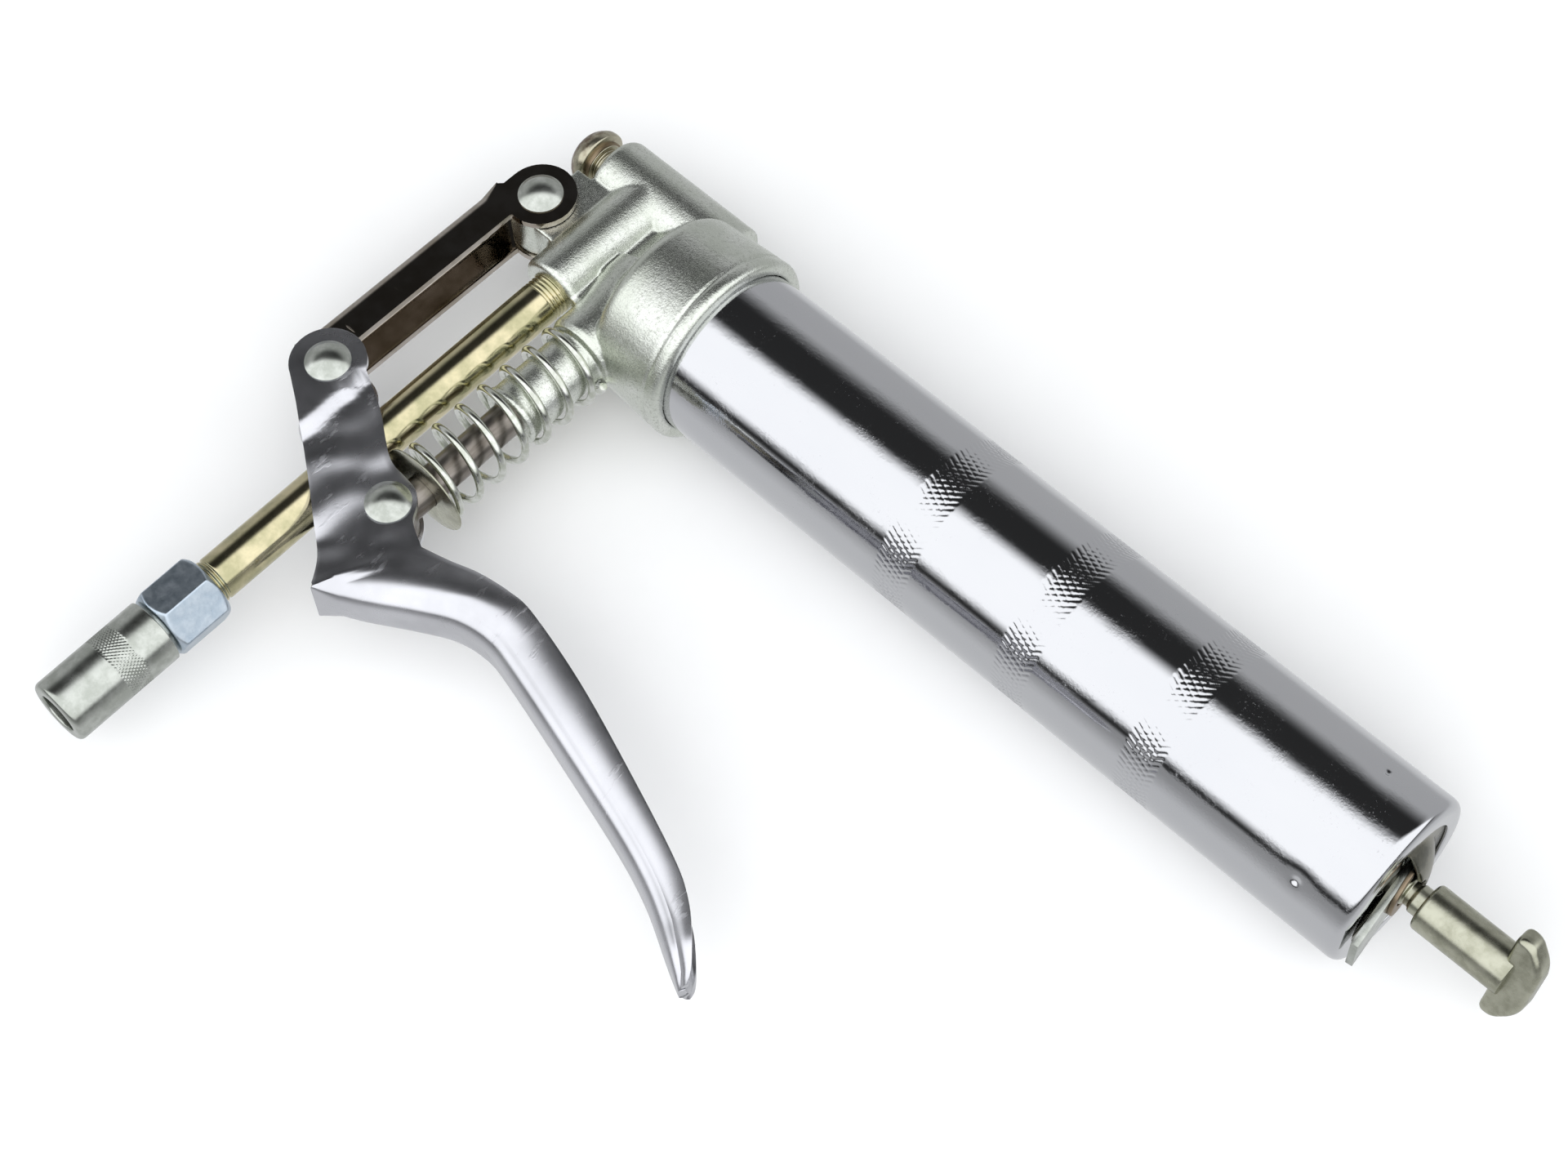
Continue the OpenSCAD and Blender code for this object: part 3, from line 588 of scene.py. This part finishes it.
# ---- Plunger and its washer ----
# A ground steel rod with a flat eye in the lever's fork. The dished washer under the spring rests
# on a shoulder of the rod.
finish = Finish("rod_steel")
streak = finish.noise(240.0, 4.0, 0.65, (1, 0.2, 1))
tint = streak.ramp(0.3, 0.7).mix((0.13, 0.11, 0.09), (0.36, 0.33, 0.30))
SLOTS["rod_steel"] = finish.metal(tint, streak * 0.2 + 0.2, finish.bump(streak, 0.00004, 0.5))
PIVOT_C = (PLUNGER_X, -74.3)
rod_line = rounded([(0, -78.5), (3.8, -78.5, 1.2), (3.8, -41, 1.0), (3.4, -39, 1.0), (3.4, -18.0, 0.8),
                    (0, -18.0)])
points, faces = turned(rod_line[:, 0], rod_line[:, 1], 64, "y", (PLUNGER_X, 0, 0))
rod = build("rod", points, faces)
eye_ring = rounded([(0, -4.2), (5.2, -4.2, 0.5), (5.2, 4.2, 0.5), (0, 4.2)])
eye = turned(eye_ring[:, 0], eye_ring[:, 1], 64, "x")
eye = (np.stack((eye[0][:, 1], eye[0][:, 2], eye[0][:, 0]), -1) + (*PIVOT_C, 0), eye[1])
rod = joined("rod", rod, eye)
finished(rod, "plunger", "rod_steel", "plunger_rod")

finish = Finish("handle_zinc")
stain = finish.noise(260.0, 3.0, 0.6)
tint = stain.ramp(0.3, 0.7).mix((0.34, 0.34, 0.26), (0.52, 0.52, 0.42))
SLOTS["handle_zinc"] = finish.metal(tint, stain * 0.14 + 0.20, finish.bump(stain, 0.00006, 0.5))
dish = rounded([(3.95, -65.75), (8.0, -65.85, 1.0), (10.5, -65.5, 0.25), (10.5, -65.1, 0.25),
                (8.6, -65.05, 1.0), (3.95, -65.05)])
dish = np.vstack((dish, dish[:1]))
points, faces = turned(dish[:, 0], dish[:, 1], 96, "y", (PLUNGER_X, 0, 0))
washer = build("washer", points, faces)
finished(washer, "plunger", "handle_zinc", "spring_washer")

# ---- Link and lever ----
# Both are pressed from 1.5 mm sheet, with a web that joins the two cheeks along the outside. The lever
# is chromed, and its cheeks spread to pass outside the link. The link is polished and dark.


def catmull(points, steps=8):
    """A smooth curve through the points. From b to c, with neighbours a and d, it is the cubic
    b + (c - a) t / 2 + (2 a - 5 b + 4 c - d) t^2 / 2 + (3 b - a - 3 c + d) t^3 / 2."""
    p = np.array(points, float)
    padded = np.vstack((p[:1], p, p[-1:]))
    t = np.linspace(0, 1, steps, endpoint=False)[:, None]
    parts = []
    for a, b, c, d in zip(padded[:-3], padded[1:-2], padded[2:-1], padded[3:]):
        square = (2 * a - 5 * b + 4 * c - d) * t**2
        cube = (3 * b - a - 3 * c + d) * t**3
        parts.append(0.5 * (2 * b + (c - a) * t + square + cube))
    return np.vstack((*parts, p[-1:]))


def evenly(line, count):
    """count points spread evenly along a line."""
    run = np.concatenate(([0], np.cumsum(np.linalg.norm(np.diff(line, axis=0), axis=1))))
    where = np.linspace(0, run[-1], count)
    return np.stack([np.interp(where, run, line[:, k]) for k in range(line.shape[1])], -1)


def arc(centre, radius, start, end, count):
    """centre + radius * (cos, sin) at count angles from start to end in degrees."""
    angle = np.radians(np.linspace(start, end, count))
    return np.array(centre) + radius * np.stack((np.cos(angle), np.sin(angle)), -1)


def pressing(name, lower, upper, folded, bend, half, crown=0.0, lean=0.0, sunk=0.0):
    """A pressed channel. lower and upper are matching lines in the plane; where folded is 1 the sheet
    turns along lower into a web. The cheek runs from lower + bend * normal to upper at height half(x, y)
    less crown * sunk towards the fold; the bend is a circle from the cheek's lean in degrees to upright,
    and the web spans between the two bends."""
    slope = np.gradient(lower, axis=0)
    slope /= np.linalg.norm(slope, axis=1)[:, None] + 1e-12
    normal = np.stack((-slope[:, 1], slope[:, 0]), -1)
    first = math.radians(90 - lean)
    use = np.flatnonzero(folded > 0.999)
    row = np.arange(len(lower))
    from_end = np.minimum(row - use[0], use[-1] - row) + 1
    bend = np.minimum(bend * np.clip(from_end / 6, 0.2, 1), 0.6 * np.linalg.norm(upper - lower, axis=1))
    inner = lower + normal * (bend * (1 - math.cos(first)) * folded)[:, None]
    share = (np.linspace(0, 1, 16) ** 1.2)[None, :, None]
    flat_xy = inner[:, None] * (1 - share) + upper[:, None] * share
    dip = crown * (1 - share[..., 0]) ** 2.2
    height = half(flat_xy[..., 0], flat_xy[..., 1]) - dip * np.reshape(sunk, (-1, 1))
    cheek = np.concatenate((flat_xy, height[..., None]), -1)
    mirror = cheek * (1, 1, -1)
    top_z = height[use, 0]
    theta = np.linspace(first, 0, 10)
    radius = np.minimum(bend[use], top_z / math.sin(first))
    web_z = top_z - radius * math.sin(first)
    inward = bend[use][:, None] * (1 - np.cos(theta))
    bend_z = web_z[:, None] + radius[:, None] * np.sin(theta)
    fold_xy = lower[use][:, None] + normal[use][:, None] * inward[..., None]
    fold = np.concatenate((fold_xy, bend_z[..., None]), -1)
    web_share = np.linspace(1, -1, 9)[1:-1]
    web_xy = np.repeat(lower[use][:, None], 7, 1)
    web = np.concatenate((web_xy, (web_z[:, None] * web_share)[..., None]), -1)
    across = np.concatenate((fold, web, fold[:, ::-1] * (1, 1, -1)), 1)
    points, faces, count = [], [], 0
    for grid, flip in ((cheek, False), (mirror, True), (across, False)):
        grid_points, grid_faces = sheet_of(grid)
        points.append(grid_points)
        faces.append((grid_faces[:, ::-1] if flip else grid_faces) + count)
        count += len(grid_points)
    made = build(name, np.vstack(points), np.vstack(faces))
    middle = TO_ROW[2] * MM
    facing = sum(p.normal.z * math.copysign(p.area, p.center.z - middle) for p in made.data.polygons)
    if facing < 0:
        made.data.flip_normals()
    wall = made.modifiers.new("wall", "SOLIDIFY")
    wall.thickness = SHEET * MM
    wall.offset = -1
    edge = made.modifiers.new("edge", "BEVEL")
    edge.width = 0.38 * MM
    edge.segments = 3
    edge.limit_method = "ANGLE"
    edge.angle_limit = math.radians(55)
    baked(made)
    made.data.shade_smooth()
    made.data.set_sharp_from_angle(angle=math.radians(60))
    return made


finish = Finish("chrome_lever")
smear = finish.noise(60.0, 4.0, 0.6)
marks = finish.noise(520.0, 3.0, 0.6, (1.0, 0.3, 1.0)).ramp(0.56, 0.70)
patch = finish.noise(75.0, 2.0).ramp(0.45, 0.6)
tint = smear.ramp(0.3, 0.7).mix((0.60, 0.60, 0.63), (0.70, 0.70, 0.735))
rough = smear * 0.16 + 0.18 + marks * patch * 0.12
SLOTS["chrome_lever"] = finish.metal(tint, rough, finish.bump(marks * patch, 0.00005, 0.3))
SHEET = 1.5
web_line = catmull([(18.5, -98), (27, -93.8), (37, -87.8), (44.5, -84), (52, -82.9), (60, -84.3),
                    (80, -89.4), (100, -94.8), (112, -99), (122, -104), (130, -108)])
free_edge = catmull([(28, -76.8), (34.5, -75.2), (41, -73.3), (49, -72.4), (56, -72.8), (73.3, -77.1),
                     (93, -83.7), (112.7, -91), (120.6, -95.2), (126, -99.8), (129.6, -103.6),
                     (131, -106.2)])
ear_edge = catmull([(-8, -57.4), (-1, -60.9), (8, -66.9), (13.5, -67.9), (17.5, -68.6), (20.2, -70.8),
                    (22.5, -74), (28, -76.8)])
lower_edge = catmull([(-15, -71.2), (-6, -77.4), (-1, -80.9), (8.5, -87.9), (14.6, -92.7), (18.5, -98)])
PIVOT_A = (-15.8, -1.3)
PIVOT_B = (-16.7, -60.7)
EAR_R = 8.1
EYE_ROWS = 14
EAR_ROWS = 44
HANDLE_ROWS = 110
lower = (arc(PIVOT_B, EAR_R, 142, 245, EYE_ROWS), evenly(lower_edge, EAR_ROWS)[1:])
lower = np.vstack((*lower, evenly(web_line, HANDLE_ROWS)[1:]))
upper = (arc(PIVOT_B, EAR_R, 142, 30, EYE_ROWS), evenly(ear_edge, EAR_ROWS)[1:])
upper = np.vstack((*upper, evenly(free_edge, HANDLE_ROWS)[1:]))
# the fold starts in the ear's last row, and the cheek sinks towards it from the middle of the ear
folded = np.zeros(len(lower))
folded[EYE_ROWS + EAR_ROWS - 2:] = 1
sunk = smooth(np.arange(len(lower)), 30, 62)


def lever_half(x, y):
    """Outer height of the lever's cheeks: 8.8 at the link, less at three joggles on the way to the plunger,
    more again in the handle, with hand-worked waves and a small pip on the ear. At the tip it is
    multiplied by sqrt(1 - tip^2), a half ellipse."""
    across = (x - 17.0) * 0.6 - (y + 88.0) * 0.8
    joggles = 1.6 * smooth(x, -10.2, -6.8), 0.55 * smooth(x, -4.0, 5.5), 0.55 * smooth(x, 5.5, 12.0)
    height = 8.8 - joggles[0] - joggles[1] - joggles[2] + 1.9 * smooth(across, -3.0, 11.0)
    wave = 0.14 * np.sin((x * 0.9 - y * 0.45) * 0.6 + 0.8 * np.sin(y * 0.3))
    height += wave * smooth(x, -12.0, -6.0) * (1 - smooth(x, 18.0, 26.0))
    height += 0.45 * np.exp(-(((x + 8.2) ** 2 + (y + 62.4) ** 2) / 0.8))
    tip = np.clip((x * 0.87 - y * 0.5 - 159.5) / 8.4, 0, 0.88)
    return height * np.sqrt(1 - tip**2)


lever = pressing("lever_sheet", lower, upper, folded, 4.0, lever_half, crown=1.8, lean=13.0, sunk=sunk)
finished(lever, "lever", "chrome_lever", "lever")

finish = Finish("dark_steel")
smear = finish.noise(160.0, 4.0, 0.6)
scratch = finish.noise(380.0, 2.0, 0.5, (0.2, 1.6, 0.2)).ramp(0.70, 0.74)
# the brown cast of this tint is a painted yellowish reflection, not a colour of the steel itself
tint = smear.ramp(0.3, 0.7).mix((0.33, 0.29, 0.24), (0.47, 0.43, 0.39))
rough = smear * 0.05 + 0.05 + scratch * 0.25
SLOTS["dark_steel"] = finish.metal(tint, rough, finish.bump(scratch, 0.00005, 0.6))
link_length = math.dist(PIVOT_A, PIVOT_B)
lean = math.atan2(PIVOT_B[0] - PIVOT_A[0], PIVOT_A[1] - PIVOT_B[1])
turn_link = np.array(((math.cos(lean), math.sin(lean)), (-math.sin(lean), math.cos(lean))))


def link_side(eye, straight, end):
    """A side of the link: its eye, its straight stretch and its end, in LINK_ROWS points. It is in the
    link's own frame, with the head's pivot at the origin."""
    counts = zip((eye, straight, end), LINK_ROWS)
    parts = [evenly(np.array(line, float), count) for line, count in counts]
    return np.vstack((parts[0], parts[1][1:], parts[2][1:]))


def link_half(x, y):
    """Outer height of the link's cheeks, the same everywhere."""
    return np.full_like(x, 7.0)


LINK_ROWS = (16, 60, 10)
WEB_X = -9.25
LINK_EYE_R = 7.8
LINK_END_R = 6.0
foot = -link_length
web_eye = np.vstack((arc((0, 0), LINK_EYE_R, 90, 180, 12), [(-LINK_EYE_R, -3.4)]))
web_end = np.vstack(([(-7.4, foot - 1.7)], arc((0, foot), LINK_END_R, 215, 270, 8)))
web_side = link_side(web_eye, [(WEB_X, -3.2), (WEB_X, foot - 1.5)], web_end)
free_eye = arc((0, 0), LINK_EYE_R, 90, -95, 24)
free_end = arc((0, foot), LINK_END_R, 97, -90, 20)
free_side = link_side(free_eye, [(-0.8, -7.77), (-0.8, foot + 5.9)], free_end)
folded = np.zeros(len(web_side))
folded[LINK_ROWS[0]:sum(LINK_ROWS[:2]) - 1] = 1
web_side = web_side @ turn_link + PIVOT_A
free_side = free_side @ turn_link + PIVOT_A
link = pressing("link_sheet", web_side, free_side, folded, 2.6, link_half)
finished(link, "link", "dark_steel", "link")

# ---- Rivets ----
# Steel rivets, zinc plated, with a dome at each end. One joins the link to the head's lug, one the link
# to the lever, and one the lever to the plunger's eye.


def rivet(name, at, level, body, node):
    """A rivet at a point of the gun's plane, its domes seated at plus and minus level. A dome is part of a
    ball of radius (HEAD_R^2 + DOME^2) / (2 DOME)."""
    ball = (HEAD_R**2 + DOME**2) / (2 * DOME)
    angle = np.linspace(0, math.asin(HEAD_R / ball), 12)[::-1]
    side_r = ball * np.sin(angle)
    side_z = level + DOME - ball + ball * np.cos(angle)
    half_r = np.concatenate(([2.5, 4.7, HEAD_R], side_r[1:]))
    half_z = np.concatenate(([level, level, level + 0.15], np.maximum(side_z[1:], level + 0.3)))
    radius = np.concatenate((half_r[::-1], half_r))
    height = np.concatenate((half_z[::-1], -half_z))
    points, faces = turned(radius, height, 72, "x")
    points = np.stack((points[:, 1], points[:, 2], points[:, 0]), -1) + (*at, 0)
    return finished(build(name, points, faces, 50), body, "zinc_steel", node)


HEAD_R = 4.85
DOME = 2.2
rivet("rivet_head", PIVOT_A, 7.1, "head", "rivet_head_pivot")
rivet("rivet_link", PIVOT_B, 8.9, "link", "rivet_link_pivot")
rivet("rivet_plunger", PIVOT_C, 6.2, "lever", "rivet_plunger_pivot")

# ---- Cap screw of the valve ----
# A mushroom-headed steel screw on a soft washer closes the valve boss. Its head is stained brown
# towards its outer face.
finish = Finish("stained_screw")
stain = finish.noise(330.0, 4.0, 0.65)
# metres beyond the face where the brown starts
beyond = -0.1268 - finish.axis(0)
brown = (stain + beyond * 90.0).ramp(0.42, 0.72)
tint = brown.mix((0.50, 0.47, 0.36), (0.17, 0.12, 0.08))
stained = finish.metal(tint, stain * 0.2 + 0.2, finish.bump(stain, 0.00006, 0.5))
screw_x = np.concatenate((np.linspace(-8.5, -9, 2), np.linspace(-9.2, -15.2, 60)))
screw_r = 3.95 - 0.25 * (0.5 + 0.5 * np.cos(screw_x * 2 * np.pi / 1.0))
cap = rounded([(-15.3, 3.7), (-15.3, 4.8, 0.3), (-16.3, 5.0, 0.3), (-16.5, 6.7, 0.5), (-18.3, 6.75, 1.2),
               (-20.6, 5.2, 2.0), (-21.85, 2.5, 1.5), (-21.85, 0)], 8)
radius = np.concatenate(([0], screw_r, cap[:, 1]))
line = np.concatenate(([-8.5], screw_x, cap[:, 0]))
points, faces = turned(radius, line, 72, "x", (0, VALVE_Y, 0))
screw = build("screw", points, faces, 50)
finished(screw, "cap_screw", "zinc_steel", "cap_screw", own=stained)

# ---- Barrel end, latch and follower handle ----
# A pressed cap with a half dome and a slot, a tilting latch plate that grips the rod, and the rod
# with its T handle.
finish = Finish("dome")
stain = finish.noise(180.0, 3.0, 0.6)
tint = stain.ramp(0.3, 0.7).mix((0.14, 0.14, 0.12), (0.30, 0.29, 0.24))
darkened = finish.metal(tint, stain * 0.15 + 0.2, finish.bump(stain, 0.00005, 0.5))
cap_disc = cast(from_cad("cap_disc", "end_cap"), 0.28, 3)
finished(cap_disc, "barrel", "handle_zinc", "end_cap", own=darkened)


def edged(made, width, segments=3, angle=35):
    """Edges sharper than angle degrees rounded over by width in millimetres."""
    edge = made.modifiers.new("edge", "BEVEL")
    edge.width = width * MM
    edge.segments = segments
    edge.limit_method = "ANGLE"
    edge.angle_limit = math.radians(angle)
    baked(made)
    made.data.shade_smooth()
    made.data.set_sharp_from_angle(angle=math.radians(45))
    return made


finish = Finish("copper")
stain = finish.noise(400.0, 3.0)
tint = stain.mix((0.22, 0.16, 0.11), (0.42, 0.34, 0.24))
SLOTS["copper"] = finish.metal(tint, stain * 0.2 + 0.3, finish.bump(stain, 0.00004, 0.5))
latch = edged(from_cad("latch", "latch_plate"), 0.25)
finished(latch, "latch", "zinc_steel", "latch_plate")
latch_ring = edged(from_cad("latch_ring", "latch_washer"), 0.15)
finished(latch_ring, "latch", "copper", "latch_washer")

SHAFT_R = 3.1
shaft_line = rounded([(27, 0), (27, SHAFT_R, 0.4), (215.2, SHAFT_R, 0.3), (215.6, 2.5, 0.2),
                      (216.8, 2.5, 0.2), (217.2, SHAFT_R, 0.3), (230, SHAFT_R, 0.1), (230, 0)])
points, faces = turned(shaft_line[:, 1], shaft_line[:, 0], 48)
shaft = build("shaft", points, faces)
finished(shaft, "follower", "handle_zinc", "follower_rod")

ferrule_line = rounded([(219.3, 0), (219.3, 5.05, 0.9), (239.4, 5.05, 0.3), (239.4, 0)])
ferrule = turned(ferrule_line[:, 1], ferrule_line[:, 0], 64)
GRIP_HALF = 10.9
GRIP_TURN = math.radians(70)
outline = rounded([(237.2, 0), (237.2, GRIP_HALF, 2.2), (240.6, GRIP_HALF, 2.0), (244.75, 6.2, 5.5),
                   (244.75, -6.2, 5.5), (240.6, -GRIP_HALF, 2.0), (237.2, -GRIP_HALF, 2.2), (237.2, 0)], 8)
outline = evenly(outline, 120)[:-1]
sides = []
for z in (-2.5, 2.5):
    turned_y = outline[:, 1] * math.cos(GRIP_TURN) - z * math.sin(GRIP_TURN)
    turned_z = outline[:, 1] * math.sin(GRIP_TURN) + z * math.cos(GRIP_TURN)
    sides.append(np.column_stack((outline[:, 0], turned_y, turned_z)))
points, faces = sheet_of(np.stack(sides), close_v=True)
count = len(outline)
faces = [tuple(f) for f in faces] + [tuple(range(count))[::-1], tuple(range(count, 2 * count))]
grip = build("grip", points, faces, 30)
edged(grip, 1.7, 6, 50)
finished(grip, "follower", "handle_zinc", "t_handle")
ferrule = build("ferrule", *ferrule)
finished(ferrule, "follower", "handle_zinc")

# ---- Pieces shown as their CAD solids ----
# The seals, gasket, check ball, jaws, follower's cup, plates and nut, and the small springs. They are
# hidden or nearly so, and take the finish of their slot. The seals are black rubber.
finish = Finish("rubber")
grain = finish.noise(900.0)
SLOTS["rubber"] = finish.metal(grain.mix((0.02, 0.02, 0.02), (0.04, 0.04, 0.04)), 0.6, metallic=0.0)
for part in frame["record"]["subparts"]:
    held = frame["nodes"][part["node"]].data
    held.materials.clear()
    held.materials.append(SLOTS[part["material_slot"]])
